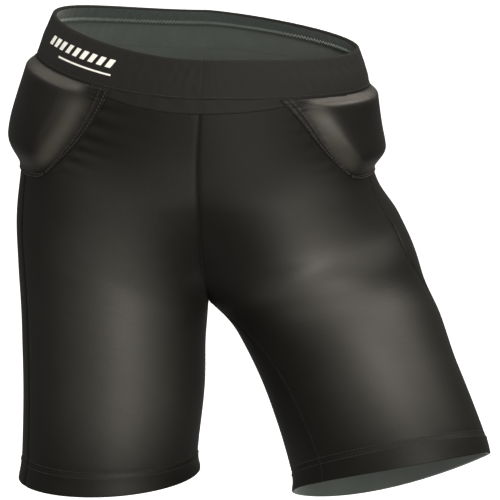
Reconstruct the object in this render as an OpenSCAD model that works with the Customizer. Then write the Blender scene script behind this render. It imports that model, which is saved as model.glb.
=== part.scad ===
// Padded impact shorts for a child skier, worn under ski trousers: a close-fitting knit
// short with a folded waistband, two moulded hip pads and a tailbone pad.
// Frame: origin at the centre of the waist opening, +Z up, the wearer faces -Y and the
// wearer's left is +X. The left leg strides forward and outward.

/* [Torso rings, waist edge to fork] */
// Middle of each ring, left or right of the origin
torso_mid_x = [-1.6, -3, -6, -5.5, -3]; // [-10:0.5:10]
// Middle of each ring, front to back
torso_mid_y = [0, 0, 2, 4, 5]; // [-10:0.5:10]
// Half width of each ring on the wearer's right
torso_w_right = [119.6, 131, 137, 143, 149]; // [100:1:170]
// Half width of each ring on the wearer's left
torso_w_left = [122.2, 132, 135, 142, 157]; // [100:1:180]
// Depth of each ring in front of its middle
torso_d_front = [79, 84, 90, 102, 98]; // [60:1:130]
// Depth of each ring behind its middle
torso_d_back = [80, 86, 96, 113, 119]; // [60:1:140]
// Height of each ring at the wearer's right side
torso_z_right = [10.9, -22, -70, -116, -154]; // [-200:1:30]
// Height of each ring at the wearer's left side
torso_z_left = [-16.9, -46, -90, -124, -152]; // [-200:1:30]
// Height of each ring at the centre of the front
torso_z_front = [-22, -52, -98, -140, -184]; // [-220:1:10]
// Height of each ring at the centre of the back
torso_z_back = [8, -24, -74, -125, -172]; // [-220:1:10]

/* [Legs, fork to hem] */
// The fork, where the four panels meet
fork = [1.5, 8, -223]; // [-260:0.5:20]
// Half depth of the leg rings, wearer's right
leg_depth_right = [83, 82, 80, 78, 80]; // [60:1:100]
// Half depth of the leg rings, wearer's left
leg_depth_left = [84, 82, 80, 77, 77]; // [60:1:100]
// How far the left leg's seams turn outward from the fork to the hem, in degrees
leg_turn_left = [0, 22, 34, 37, 37]; // [0:1:45]

/* [Fabric] */
// Thickness of the body fabric
fabric_t = 1.2; // [0.8:0.1:1.6]
// Thickness of the folded waistband
band_t = 3.6; // [3:0.1:5]
// Depth of the crescent yoke at the centre of the front, as a share of the second ring gap
yoke_share = 0.28; // [0.1:0.01:0.4]
// Where the side seam runs round the half, 0 at the front edge and 1 at the back edge
side_seam = 0.43; // [0.4:0.01:0.5]
// Gap between cloth layers
layer_gap = 0.3; // [0.2:0.05:0.5]

/* [Hip pads] */
// How far the hip pad's flat face stands out
pad_h = 12; // [8:0.5:16]
// Middle of the pad round the half
pad_mid = 0.475; // [0.45:0.005:0.5]
// Half width of each pad at its top, right and left, as a share of the half
pad_half_top = [0.28, 0.285]; // [0.2:0.005:0.3]
// How much narrower each is at the bottom
pad_taper = [0.154, 0.166]; // [0.05:0.002:0.2]
// How late each pad narrows: 1 is a straight edge, above 1 a rounder one
pad_curve = [1.5, 1]; // [1:0.1:2]
// Top of the pads, counted in torso rings
pad_top = 1.03; // [1:0.01:1.2]
// Bottom of each pad, right and left
pad_bottom = [2.92, 2.72]; // [2.5:0.01:3.1]
// Share of a pad's height that its top bevel reaches; the face rises the rest of the way
pad_ledge = 0.45; // [0.3:0.05:1]

/* [Tailbone pad] */
// How far the tailbone pad's face stands out
tail_h = 9; // [6:0.5:12]
// Half width of the tailbone pad at its top, as a share of the half
tail_half = 0.14; // [0.1:0.01:0.18]
// Top and bottom of the tailbone pad, counted in torso rings
tail_span = [1.2, 3.5]; // [1.1:0.05:3.7]

/* [Thread and print] */
// Radius of a row of stitching
thread_r = 0.4; // [0.3:0.05:0.6]
// Distance between the two rows of a double seam, as a share of the pad's half width
row_gap = 0.05; // [0.03:0.01:0.08]
// Number of plain slanted bars printed on the waistband
bars = 9; // [5:1:12]

/* [Hidden] */

RIGHT = -1;
LEFT = 1;
fork_row = 5;
hem_row = 9;
hem_stitch_row = 8;

// How strongly each torso ring flattens at its front and back, in degrees
torso_bend = [2.3, 3.4, 5.7, 8, 10.3];
// How far each torso ring already divides into the two legs
torso_split = [0, 0, 0.04, 0.12, 0.32];
// Squareness of the ring's side: below 1 is boxy, above 1 is pinched
torso_square_right = [1.1, 0.97, 0.93, 0.92, 0.92];
torso_square_left = [1.5, 1.2, 1, 0.95, 0.95];
// How late each ring's sideways tilt sets in, going round from the centre
torso_roll = [1.9, 1.8, 1.5, 1.5, 1.5];
split_depth = 83;

// Innermost and outermost point of each leg ring
leg_inner_right = [fork, [-1, 8, -250], [-2, 8, -292], [-7.5, 8, -343], [-6, 8, -360]];
leg_outer_right = [
    [-151.5, 6, -190], [-149, 6, -238], [-148.5, 6, -284], [-150, 6, -344], [-153, 6, -366]];
leg_inner_left = [fork, [26, -14, -247], [48, -32, -290], [67, -56, -345], [68.5, -62, -362]];
leg_outer_left = [
    [169, -2, -186], [183, -14, -222], [198, -36, -266], [217, -60, -317], [221, -66, -333]];
// Forward tilt of each ring in degrees, its sideways skew, and the dip of its front and back
leg_tilt_right = [0, 0, -1, -1, -1];
leg_tilt_left = [5, 10, 15, 19, 19];
leg_skew_left = [0, 0.02, 0.05, 0.1, 0.14];
leg_dip_right = [[0, 0], [0, 0], [0, 0], [1, 1], [1, 1]];
leg_dip_left = [[0, 0], [0, 0], [0, 0], [1, 3], [4, 7]];

fabric = "#2b2b28";
trim = "#222220";
lining_grey = "#59655f";
foam_grey = "#6c6c68";
thread_black = "#1c1c1c";
print_white = "#d8d8d4";

// ---- The cloth surface: side is RIGHT or LEFT, u runs round the half from the front edge
// (0) past the side to the back edge (1), v counts rings down from the waist edge.

function signed_pow(x, p) = sign(x) * pow(abs(x), p);

function torso_point(k, side, u) =
    let (phi = 180 * u - torso_bend[k] * sin(360 * u),
         s = max(0, sin(phi)),
         c = cos(phi),
         w = side > 0 ? torso_w_left[k] : torso_w_right[k],
         square = side > 0 ? torso_square_left[k] : torso_square_right[k],
         depth = c > 0 ? torso_d_front[k] : torso_d_back[k],
         split = torso_split[k],
         z_side = (torso_z_left[k] + torso_z_right[k]) / 2,
         z_roll = (torso_z_left[k] - torso_z_right[k]) / 2,
         z_pitch = (torso_z_back[k] - torso_z_front[k]) / 2,
         z_sag = (torso_z_back[k] + torso_z_front[k]) / 2 - z_side)
    [torso_mid_x[k] + side * w * ((1 - split) * pow(s, square) + split * pow(sin(180 * u), 2)),
     torso_mid_y[k] - (1 - split) * depth * c - split * split_depth * sin(360 * u),
     z_side - z_pitch * c + z_sag * c * c + z_roll * side * pow(s, torso_roll[k])];

function leg_point(k, side, u) =
    let (left = side > 0,
         inner = left ? leg_inner_left[k] : leg_inner_right[k],
         outer = left ? leg_outer_left[k] : leg_outer_right[k],
         tilt = left ? leg_tilt_left[k] : leg_tilt_right[k],
         skew = left ? leg_skew_left[k] : 0,
         depth = left ? leg_depth_left[k] : leg_depth_right[k],
         dip = left ? leg_dip_left[k] : leg_dip_right[k],
         angle = 360 * u + (left ? leg_turn_left[k] : 0),
         s = sin(angle))
    inner + (outer - inner) * (1 - cos(angle)) / 2
    - depth * s * [-skew, cos(tilt), -sin(tilt)]
    - [0, 0, (s > 0 ? dip[0] : dip[1]) * s * s];

// Share of a ghost ring at the fork that follows the other half of the garment
function fork_mix(u) = pow(max(0, sin(180 * u)), 0.8);

function torso_ring(k, side, u) =
    k < 0 ? 2 * torso_ring(0, side, u) - torso_ring(1, side, u)
    : k < fork_row ? torso_point(k, side, u)
    : k == fork_row ? leg_point(0, side, u)
    : let (m = fork_mix(u))
      m * leg_point(1, side, u)
      + (1 - m) * (2 * leg_point(0, side, u) - torso_point(fork_row - 1, side, u));

function leg_ring(k, side, u) =
    k > hem_row - fork_row
    ? 2 * leg_ring(k - 1, side, u) - leg_ring(k - 2, side, u)
    : k >= 0 ? leg_point(k, side, u)
    : let (m = fork_mix(u))
      m * torso_point(fork_row - 1, side, u)
      + (1 - m) * (2 * leg_point(0, side, u) - leg_point(1, side, u));

function blend4(a, b, c, d, t) =
    (2 * b + (c - a) * t + (2 * a - 5 * b + 4 * c - d) * t * t
     + (3 * b - a - 3 * c + d) * t * t * t) / 2;

function skin(side, u, v) =
    v <= fork_row
    ? let (k = min(floor(v), fork_row - 1))
      blend4(torso_ring(k - 1, side, u), torso_ring(k, side, u),
             torso_ring(k + 1, side, u), torso_ring(k + 2, side, u), v - k)
    : let (w = v - fork_row, k = min(floor(w), hem_row - fork_row - 1))
      blend4(leg_ring(k - 1, side, u), leg_ring(k, side, u),
             leg_ring(k + 1, side, u), leg_ring(k + 2, side, u), w - k);

function unit(p) = p / norm(p);

// Rise from 0 at start to 1 at end
function ramp(x, start, end) = let (t = min(1, max(0, (x - start) / (end - start))))
    t * t * (3 - 2 * t);

// Outward direction. On the centre seams it stays in the middle plane, so both halves agree.
function outward(side, u, v, e = 0.01) =
    let (edge = u < e / 2 || u > 1 - e / 2,
         down = skin(side, u, min(v + e, hem_row)) - skin(side, u, max(v - e, 0)))
    edge && abs(v - fork_row) < e ? [0, 0, -1]
    : edge && v < fork_row
      ? let (back = u > 0.5 ? -1 : 1) unit([0, down.z * back, -down.y * back])
    : let (around = edge
               ? skin(side, e, v) - skin(side, 1 - e, v)
               : skin(side, min(u + e, 1), v) - skin(side, max(u - e, 0), v))
      unit(-side * cross(around, down));

function lifted(side, u, v, lift) = skin(side, u, v) + lift * outward(side, u, v);

// ---- Solids that follow the surface

function steps(from, to, n) = [for (i = [0 : n]) from + (to - from) * i / n];

function sheet_faces(n, m, flip) =
    let (top = n * m,
         rim = concat([for (i = [0 : n - 1]) i],
                      [for (j = [1 : m - 1]) j * n + n - 1],
                      [for (i = [n - 2 : -1 : 0]) (m - 1) * n + i],
                      [for (j = [m - 2 : -1 : 1]) j * n]),
         cells = [for (j = [0 : m - 2], i = [0 : n - 2]) j * n + i],
         faces = concat(
             [for (a = cells) each [[a, a + 1, a + n + 1], [a, a + n + 1, a + n]]],
             [for (a = cells) each [[top + a, top + a + n + 1, top + a + 1],
                                    [top + a, top + a + n, top + a + n + 1]]],
             [for (i = [0 : len(rim) - 1])
                 let (a = rim[i], b = rim[(i + 1) % len(rim)])
                 each [[a, top + a, top + b], [a, top + b, b]]]))
    flip ? [for (f = faces) [f[2], f[1], f[0]]] : faces;

// A sheet between two lifts. place(a, b) gives [side, u, v]; low(a, b) and high(a, b) lift it.
module sheet(a_list, b_list, place, low, high, flip) {
    points = [for (layer = [low, high], b = b_list, a = a_list)
        let (p = place(a, b)) lifted(p[0], p[1], p[2], layer(a, b))];
    polyhedron(points, sheet_faces(len(a_list), len(b_list), flip), convexity = 8);
}

module panel(side, u_list, v_top, v_end, rows, low = -fabric_t, high = 0) {
    sheet(u_list, steps(0, 1, rows),
          function(a, b) [side, a, v_top(a) + b * (v_end(a) - v_top(a))],
          function(a, b) low, function(a, b) high, side > 0);
}

// A closed or open run of equal cross-sections, each a list of points
module run(sections, closed) {
    n = len(sections);
    k = len(sections[0]);
    last = closed ? n - 1 : n - 2;
    walls = [for (s = [0 : last], p = [0 : k - 1])
        let (a = s * k + p, b = s * k + (p + 1) % k,
             c = ((s + 1) % n) * k + p, d = ((s + 1) % n) * k + (p + 1) % k)
        each [[a, c, d], [a, d, b]]];
    ends = closed ? [] : [[for (p = [0 : k - 1]) p],
                          [for (p = [k - 1 : -1 : 0]) (n - 1) * k + p]];
    polyhedron([for (s = sections) each s], concat(walls, ends), convexity = 8);
}

// A thread or seam ridge lying on the surface; stops is a list of [side, u, v]
module thread(stops, closed = false, half_w = thread_r, half_t = thread_r) {
    n = len(stops);
    lift = layer_gap + half_t;
    centres = [for (s = stops) lifted(s[0], s[1], s[2], lift)];
    sections = [for (i = [0 : n - 1])
        let (before = centres[closed ? (i + n - 1) % n : max(i - 1, 0)],
             after = centres[closed ? (i + 1) % n : min(i + 1, n - 1)],
             up = outward(stops[i][0], stops[i][1], stops[i][2]),
             across = unit(cross(after - before, up)))
        [centres[i] - half_w * across, centres[i] + half_t * up,
         centres[i] + half_w * across, centres[i] - half_t * up]];
    run(sections, closed);
}

// Stations round the whole body at ring v: down the right half, back up the left
function whole_loop(n) =
    concat([for (i = [0 : n - 1]) [RIGHT, i / n]], [for (i = [0 : n - 1]) [LEFT, 1 - i / n]]);

// ---- Waist

band_stations = 28;
casing_wall = 0.9;
zigzags = 52;
// The turned-in edge of the casing ends here, as a share of the band's depth
casing_end = 0.42;

module band_ring(profile) {
    sections = [for (s = whole_loop(band_stations))
        [for (p = profile) lifted(s[0], s[1], p[1], p[0])]];
    run(sections, true);
}

module waistband() {
    fold = 0.03;
    color(fabric) band_ring([
        [0, 1], [0, casing_end], [0, fold], [-casing_wall, 0], [-band_t + casing_wall, 0], [-band_t, fold],
        [-band_t, casing_end], [-band_t + casing_wall, casing_end], [-band_t + casing_wall, fold],
        [-casing_wall, fold], [-casing_wall, casing_end], [-casing_wall, 1]]);
}

module waist_elastic() {
    outer = -casing_wall - layer_gap;
    inner = -band_t + casing_wall + layer_gap;
    low = casing_end - 0.03;
    color(trim) band_ring([[outer, low], [outer, 0.07], [inner, 0.07], [inner, low]]);
}

// Zigzag row that holds the casing's inner edge, on the inside of the band
module waistband_zigzag() {
    lift = -band_t - 2 * layer_gap - thread_r;
    sections = [for (i = [0 : 2 * zigzags - 1])
        let (share = i / zigzags,
             side = share < 1 ? RIGHT : LEFT,
             u = share < 1 ? share : 2 - share,
             v = casing_end - (i % 2 == 0 ? 0.12 : 0.04),
             p = lifted(side, u, v, lift),
             up = outward(side, u, v))
        [p - thread_r * up, p - [0, 0, thread_r], p + thread_r * up, p + [0, 0, thread_r]]];
    color(lining_grey) run(sections, true);
}

module waist_seam_thread() {
    color(thread_black) thread([for (s = whole_loop(24)) [s[0], s[1], 0.97]], true);
}

// Plain slanted bars in place of a mark, with one thin line under them
module waistband_bars() {
    first_u = 0.2;
    pitch_u = 0.023;
    bar_u = 0.013;
    slant_u = 0.007;
    color(print_white) {
        for (i = [0 : bars - 1]) {
            u0 = first_u + i * pitch_u;
            sheet([0, 1], [0, 1],
                  function(a, b) [RIGHT, u0 + a * bar_u + b * slant_u, 0.34 + 0.22 * b],
                  function(a, b) layer_gap, function(a, b) layer_gap + 0.3, false);
        }
        sheet(steps(0, 1, 6), [0, 1],
              function(a, b) [RIGHT, first_u + a * 0.15, 0.7 + 0.04 * b],
              function(a, b) layer_gap, function(a, b) layer_gap + 0.3, false);
    }
}

// ---- Body panels

yoke_end = 0.24;
// Lower edge of the yoke and waistband
function yoke_edge(u) =
    u < yoke_end ? 1 + yoke_share * sqrt(1 - pow(u / yoke_end, 2)) : 1;
// The panels end here, the stretch zone follows, and the leg pieces start at leg_start
function seat_end(u) = fork_row - 1.2 * ramp(min(u, 1 - u), 0, 0.22);
function leg_start(u) = fork_row + 0.6 - 0.4 * sin(180 * u);
stretch_gap = 0.02;
front_leg_stations = steps(0, side_seam, 10);
back_leg_stations = steps(side_seam, 1, 13);
// Stations once round a leg, shared by the hem and its stitching
leg_loop = concat(front_leg_stations, [for (i = [1 : 12]) back_leg_stations[i]]);
function leg_loop_for(side) =
    side > 0 ? leg_loop : [for (i = [len(leg_loop) - 1 : -1 : 0]) leg_loop[i]];

front_stations = concat([0, 0.015, 0.04], steps(0.08, 0.24, 4), steps(0.28, side_seam, 3));
back_stations = concat(steps(side_seam, 0.92, 9), [0.96, 0.985, 1]);

module front_yoke() {
    stations = concat([for (i = [7 : -1 : 1]) [RIGHT, i / 7 * yoke_end * 0.97]],
                      [for (i = [0 : 7]) [LEFT, i / 7 * yoke_end * 0.97]]);
    color(trim) sheet([for (i = [0 : len(stations) - 1]) i], [0, 1],
        function(a, b) let (s = stations[a])
            [s[0], s[1], 1.015 + b * (yoke_edge(s[1]) - 0.01 - 1.015)],
        function(a, b) -fabric_t, function(a, b) 0, true);
}

module front_panel(side) {
    color(fabric) panel(side, front_stations, function(u) yoke_edge(u) + 0.01,
                        function(u) seat_end(u), 11);
}

module back_panel(side) {
    color(fabric) panel(side, back_stations, function(u) 1.015, function(u) seat_end(u), 11);
}

// A ring of cloth round the top of the thigh, open by a hair at the inseam
module stretch_zone(side) {
    stations = concat([0.012], [for (u = front_stations) if (u > 0.03) u],
                      [for (u = back_stations) if (u > side_seam + 0.01 && u < 0.97) u], [0.988]);
    color(fabric) panel(side, stations, function(u) seat_end(u) + stretch_gap,
                        function(u) leg_start(u) - stretch_gap, 5);
}

module front_leg(side) {
    color(fabric) panel(side, front_leg_stations, function(u) leg_start(u),
                        function(u) hem_row, 6);
}

module back_leg(side) {
    color(fabric) panel(side, back_leg_stations, function(u) leg_start(u),
                        function(u) hem_row, 6);
}

// ---- Hems

module hem_fold(side) {
    outer = -fabric_t - layer_gap;
    inner = outer - fabric_t;
    sections = [for (u = leg_loop_for(side))
        [for (p = [[outer, hem_row - 0.03], [inner, hem_row - 0.03], [inner, hem_stitch_row],
                   [outer, hem_stitch_row]])
            lifted(side, u, p[1], p[0])]];
    color(lining_grey) run(sections, true);
}

module hem_stitching(side) {
    color(thread_black) thread(
        [for (u = leg_loop_for(side)) [side, u, hem_stitch_row + 0.05]], true);
}

// ---- Seams

module ridge(stops) {
    color(trim) thread(stops, half_w = 1, half_t = 0.35);
}

module front_centre_seam() {
    ridge([for (v = steps(1 + yoke_share + 0.03, fork_row - 0.1, 14)) [LEFT, 0, v]]);
}

module back_centre_seam() {
    ridge([for (v = steps(tail_span[1] + 0.1, fork_row - 0.1, 8)) [LEFT, 1, v]]);
}

module side_seam_hip(side) {
    first_v = pad_bottom[side > 0 ? 1 : 0] + 0.1;
    ridge([for (v = steps(first_v, seat_end(side_seam) - 0.03, 5)) [side, side_seam, v]]);
}

module side_seam_leg(side) {
    ridge([for (v = steps(leg_start(side_seam) + 0.05, hem_row - 0.02, 12)) [side, side_seam, v]]);
}

module inseam(side) {
    ridge([for (v = steps(leg_start(0) + 0.05, hem_row - 0.02, 12)) [side, 0, v]]);
}

// ---- Pads. a runs across the pad from -1 to 1, b down it from 0 to 1.

flange = 0.9;
face_a = 0.7;
face_top = 0.09;
face_bottom = 0.7;
flange_bottom = 0.96;

function pad_place(side) =
    let (i = side > 0 ? 1 : 0)
    function(a, b)
        let (v = pad_top + b * (1 - 0.1 * pow(a, 4)) * (pad_bottom[i] - pad_top))
        [side, pad_mid + a * (pad_half_top[i] - pad_taper[i] * pow(b, pad_curve[i])), v];

function pad_rise(h) = function(a, b)
    h * (1 - ramp(abs(a), face_a, flange)) * (1 - ramp(b, face_bottom, flange_bottom))
      * (pad_ledge * ramp(b, 0, face_top) + (1 - pad_ledge) * ramp(b, 0, face_bottom));

function tail_place() = function(a, b)
    let (v = tail_span[0] + b * (1 - 0.12 * a * a) * (tail_span[1] - tail_span[0]))
    [a < 0 ? RIGHT : LEFT, 1 - abs(a) * tail_half * (1 - 0.45 * b * b), v];

cover_a = [-1, -0.95, -0.9, -0.85, -0.8, -0.75, -0.7, -0.47, -0.23, 0,
           0.23, 0.47, 0.7, 0.75, 0.8, 0.85, 0.9, 0.95, 1];
cover_b = [0, 0.03, 0.06, 0.09, 0.24, 0.4, 0.55, 0.7, 0.77, 0.84, 0.9, 0.96, 1];
tail_a = [-1, -0.95, -0.9, -0.85, -0.8, -0.75, -0.7, -0.35, 0,
          0.35, 0.7, 0.75, 0.8, 0.85, 0.9, 0.95, 1];
foam_a = [-0.85, -0.8, -0.75, -0.7, -0.47, -0.23, 0, 0.23, 0.47, 0.7, 0.75, 0.8, 0.85];
foam_tail_a = [-0.85, -0.8, -0.75, -0.7, -0.35, 0, 0.35, 0.7, 0.75, 0.8, 0.85];
foam_b = [0.04, 0.06, 0.09, 0.24, 0.4, 0.55, 0.7, 0.77, 0.84, 0.9];
cover_t = 0.9;

module pad_cover(a_list, place, h, flip) {
    rise = pad_rise(h);
    color(fabric) sheet(a_list, cover_b, place, function(a, b) layer_gap + rise(a, b),
                        function(a, b) layer_gap + cover_t + rise(a, b), flip);
}

module pad_foam(a_list, place, h, flip) {
    rise = pad_rise(h);
    color(foam_grey) sheet(a_list, foam_b, place, function(a, b) layer_gap + 0.08 * rise(a, b),
                           function(a, b) layer_gap + 0.9 * rise(a, b), flip);
}

// Two rows of stitching down one edge, along the bottom and up the other edge
module pad_stitching(place) {
    color(thread_black) for (row = [0, 1]) {
        edge = 1 - (row + 0.5) * row_gap;
        foot = 0.99 - row * row_gap * 0.6;
        path = concat([for (b = steps(0.03, foot, 9)) [-edge, b]],
                      [for (a = steps(-edge, edge, 6)) if (abs(a) < edge - 0.01) [a, foot]],
                      [for (b = steps(foot, 0.03, 9)) [edge, b]]);
        points = [for (p = path) place(p[0], p[1])];
        lift = 3 * layer_gap + cover_t + thread_r;
        centres = [for (p = points) lifted(p[0], p[1], p[2], lift)];
        n = len(points);
        run([for (i = [0 : n - 1])
            let (along = centres[min(i + 1, n - 1)] - centres[max(i - 1, 0)],
                 up = outward(points[i][0], points[i][1], points[i][2]),
                 across = unit(cross(along, up)))
            [centres[i] - thread_r * across, centres[i] + thread_r * up,
             centres[i] + thread_r * across, centres[i] - thread_r * up]], false);
    }
}

module hip_foam(side) { pad_foam(foam_a, pad_place(side), pad_h, side > 0); }
module hip_cover(side) { pad_cover(cover_a, pad_place(side), pad_h, side > 0); }
module hip_stitching(side) { pad_stitching(pad_place(side)); }
module tailbone_foam() { pad_foam(foam_tail_a, tail_place(), tail_h, false); }
module tailbone_cover() { pad_cover(tail_a, tail_place(), tail_h, false); }
module tailbone_stitching() { pad_stitching(tail_place()); }

waistband();
waist_elastic();
waistband_zigzag();
waist_seam_thread();
waistband_bars();
front_yoke();
front_panel(RIGHT);  // front_panel_right
front_panel(LEFT);  // front_panel_left
back_panel(RIGHT);  // back_panel_right
back_panel(LEFT);  // back_panel_left
front_centre_seam();
back_centre_seam();
side_seam_hip(RIGHT);  // side_seam_hip_right
side_seam_hip(LEFT);  // side_seam_hip_left
hip_foam(RIGHT);  // hip_foam_right
hip_foam(LEFT);  // hip_foam_left
hip_cover(RIGHT);  // hip_cover_right
hip_cover(LEFT);  // hip_cover_left
hip_stitching(RIGHT);  // hip_stitching_right
hip_stitching(LEFT);  // hip_stitching_left
tailbone_foam();
tailbone_cover();
tailbone_stitching();
stretch_zone(RIGHT);  // stretch_zone_right
stretch_zone(LEFT);  // stretch_zone_left
front_leg(RIGHT);  // front_leg_right
front_leg(LEFT);  // front_leg_left
back_leg(RIGHT);  // back_leg_right
back_leg(LEFT);  // back_leg_left
hem_fold(RIGHT);  // hem_fold_right
hem_fold(LEFT);  // hem_fold_left
hem_stitching(RIGHT);  // hem_stitching_right
hem_stitching(LEFT);  // hem_stitching_left
inseam(RIGHT);  // inseam_right
inseam(LEFT);  // inseam_left
side_seam_leg(RIGHT);  // side_seam_leg_right
side_seam_leg(LEFT);  // side_seam_leg_left
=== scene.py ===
"""Padded impact shorts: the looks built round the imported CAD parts, in metres and in their frame."""

import math

import bpy
import numpy as np
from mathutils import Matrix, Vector


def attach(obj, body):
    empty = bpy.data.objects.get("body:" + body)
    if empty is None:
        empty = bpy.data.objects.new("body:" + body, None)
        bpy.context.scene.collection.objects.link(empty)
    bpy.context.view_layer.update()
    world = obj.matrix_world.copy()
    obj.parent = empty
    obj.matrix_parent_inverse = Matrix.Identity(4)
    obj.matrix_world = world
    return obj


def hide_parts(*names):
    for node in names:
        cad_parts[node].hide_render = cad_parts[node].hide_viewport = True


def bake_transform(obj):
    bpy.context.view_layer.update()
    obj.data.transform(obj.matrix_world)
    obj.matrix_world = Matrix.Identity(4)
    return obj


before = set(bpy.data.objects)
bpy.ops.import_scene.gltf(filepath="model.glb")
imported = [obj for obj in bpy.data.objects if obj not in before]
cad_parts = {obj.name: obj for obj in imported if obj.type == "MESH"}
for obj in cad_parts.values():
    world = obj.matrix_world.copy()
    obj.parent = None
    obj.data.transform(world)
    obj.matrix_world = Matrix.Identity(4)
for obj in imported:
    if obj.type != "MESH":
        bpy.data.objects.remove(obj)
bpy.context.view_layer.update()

MM = 0.001
RIGHT, LEFT = -1, 1
NAMES = {RIGHT: "right", LEFT: "left"}

# ---- Size chart of the cloth surface, in millimetres, the same as the CAD part's

FORK_ROW, HEM_STITCH_ROW, HEM_ROW = 5, 8, 9
TORSO_MID_X = [-1.6, -3, -6, -5.5, -3]
TORSO_MID_Y = [0, 0, 2, 4, 5]
TORSO_W = {RIGHT: [119.6, 131, 137, 143, 149], LEFT: [122.2, 132, 135, 142, 157]}
TORSO_D_FRONT = [79, 84, 90, 102, 98]
TORSO_D_BACK = [80, 86, 96, 113, 119]
TORSO_Z_RIGHT = [10.9, -22, -70, -116, -154]
TORSO_Z_LEFT = [-16.9, -46, -90, -124, -152]
TORSO_Z_FRONT = [-22, -52, -98, -140, -184]
TORSO_Z_BACK = [8, -24, -74, -125, -172]
TORSO_BEND = [2.3, 3.4, 5.7, 8, 10.3]
TORSO_SPLIT = [0, 0, 0.04, 0.12, 0.32]
TORSO_SQUARE = {RIGHT: [1.1, 0.97, 0.93, 0.92, 0.92], LEFT: [1.5, 1.2, 1, 0.95, 0.95]}
TORSO_ROLL = [1.9, 1.8, 1.5, 1.5, 1.5]
SPLIT_DEPTH = 83
FORK = [1.5, 8, -223]
LEG_INNER = {
    RIGHT: [FORK, [-1, 8, -250], [-2, 8, -292], [-7.5, 8, -343], [-6, 8, -360]],
    LEFT: [FORK, [26, -14, -247], [48, -32, -290], [67, -56, -345], [68.5, -62, -362]],
}
LEG_OUTER = {
    RIGHT: [[-151.5, 6, -190], [-149, 6, -238], [-148.5, 6, -284], [-150, 6, -344], [-153, 6, -366]],
    LEFT: [[169, -2, -186], [183, -14, -222], [198, -36, -266], [217, -60, -317], [221, -66, -333]],
}
LEG_DEPTH = {RIGHT: [83, 82, 80, 78, 80], LEFT: [84, 82, 80, 77, 77]}
LEG_TURN = {RIGHT: [0] * 5, LEFT: [0, 22, 34, 37, 37]}
LEG_TILT = {RIGHT: [0, 0, -1, -1, -1], LEFT: [5, 10, 15, 19, 19]}
LEG_SKEW = {RIGHT: [0] * 5, LEFT: [0, 0.02, 0.05, 0.1, 0.14]}
LEG_DIP_FRONT = {RIGHT: [0, 0, 0, 1, 1], LEFT: [0, 0, 0, 1, 4]}
LEG_DIP_BACK = {RIGHT: [0, 0, 0, 1, 1], LEFT: [0, 0, 0, 3, 7]}

SIDE_SEAM = 0.43
YOKE_END, YOKE_SHARE = 0.24, 0.28
PAD_MID, PAD_TOP, PAD_LEDGE, PAD_H = 0.475, 1.03, 0.45, 12 * MM
PAD_HALF = {RIGHT: 0.28, LEFT: 0.285}
PAD_TAPER = {RIGHT: 0.154, LEFT: 0.166}
PAD_CURVE = {RIGHT: 1.5, LEFT: 1.0}
PAD_BOTTOM = {RIGHT: 2.92, LEFT: 2.72}
TAIL_HALF, TAIL_SPAN, TAIL_H = 0.14, (1.2, 3.5), 9 * MM
BAND_T, CASING_WALL, CASING_END, CLOTH_T = 3.6 * MM, 0.9 * MM, 0.42, 1.2 * MM
ROW_GAP = 0.05
PUCKER = {RIGHT: 0.9 * MM, LEFT: 0.35 * MM}
CREASE_U, CREASE_V = 0.31, 3.3

# Mean length of one unit of u (round a half), of v (down one ring) and of v on the waistband
U_SPAN, V_SPAN, BAND_DEPTH = 0.395, 0.045, 31 * MM


def ramp(x, start, end):
    t = np.clip((np.asarray(x, float) - start) / (end - start), 0, 1)
    return t * t * (3 - 2 * t)


def bell(distance, width):
    return np.exp(-((np.asarray(distance, float) / width) ** 2))


def unit(p):
    return p / np.maximum(np.linalg.norm(p, axis=-1, keepdims=True), 1e-12)


def torso_point(k, side, u):
    phi = math.pi * u - math.radians(TORSO_BEND[k]) * np.sin(2 * math.pi * u)
    s, c = np.maximum(np.sin(phi), 0), np.cos(phi)
    depth = np.where(c > 0, TORSO_D_FRONT[k], TORSO_D_BACK[k])
    split = TORSO_SPLIT[k]
    z_side = (TORSO_Z_LEFT[k] + TORSO_Z_RIGHT[k]) / 2
    z_roll = (TORSO_Z_LEFT[k] - TORSO_Z_RIGHT[k]) / 2
    z_pitch = (TORSO_Z_BACK[k] - TORSO_Z_FRONT[k]) / 2
    z_sag = (TORSO_Z_BACK[k] + TORSO_Z_FRONT[k]) / 2 - z_side
    wide = (1 - split) * s ** TORSO_SQUARE[side][k] + split * np.sin(math.pi * u) ** 2
    return np.stack(
        [
            TORSO_MID_X[k] + side * TORSO_W[side][k] * wide,
            TORSO_MID_Y[k] - (1 - split) * depth * c - split * SPLIT_DEPTH * np.sin(2 * math.pi * u),
            z_side - z_pitch * c + z_sag * c * c + z_roll * side * s ** TORSO_ROLL[k],
        ],
        -1,
    )


def leg_point(k, side, u):
    inner, outer = np.array(LEG_INNER[side][k], float), np.array(LEG_OUTER[side][k], float)
    angle = 2 * math.pi * u + math.radians(LEG_TURN[side][k])
    s = np.sin(angle)[:, None]
    tilt = math.radians(LEG_TILT[side][k])
    fore = np.array([-LEG_SKEW[side][k], math.cos(tilt), -math.sin(tilt)])
    p = inner + (outer - inner) * (1 - np.cos(angle)[:, None]) / 2 - LEG_DEPTH[side][k] * s * fore
    dip = np.where(s[:, 0] > 0, LEG_DIP_FRONT[side][k], LEG_DIP_BACK[side][k])
    p[:, 2] -= dip * s[:, 0] ** 2
    return p


def torso_rings(side, u):
    """The rings from one above the waist edge to one below the fork."""
    rings = [torso_point(k, side, u) for k in range(FORK_ROW)] + [leg_point(0, side, u)]
    m = (np.maximum(np.sin(math.pi * u), 0) ** 0.8)[:, None]
    below = m * leg_point(1, side, u) + (1 - m) * (2 * rings[-1] - rings[-2])
    return np.stack([2 * rings[0] - rings[1], *rings, below])


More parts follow.
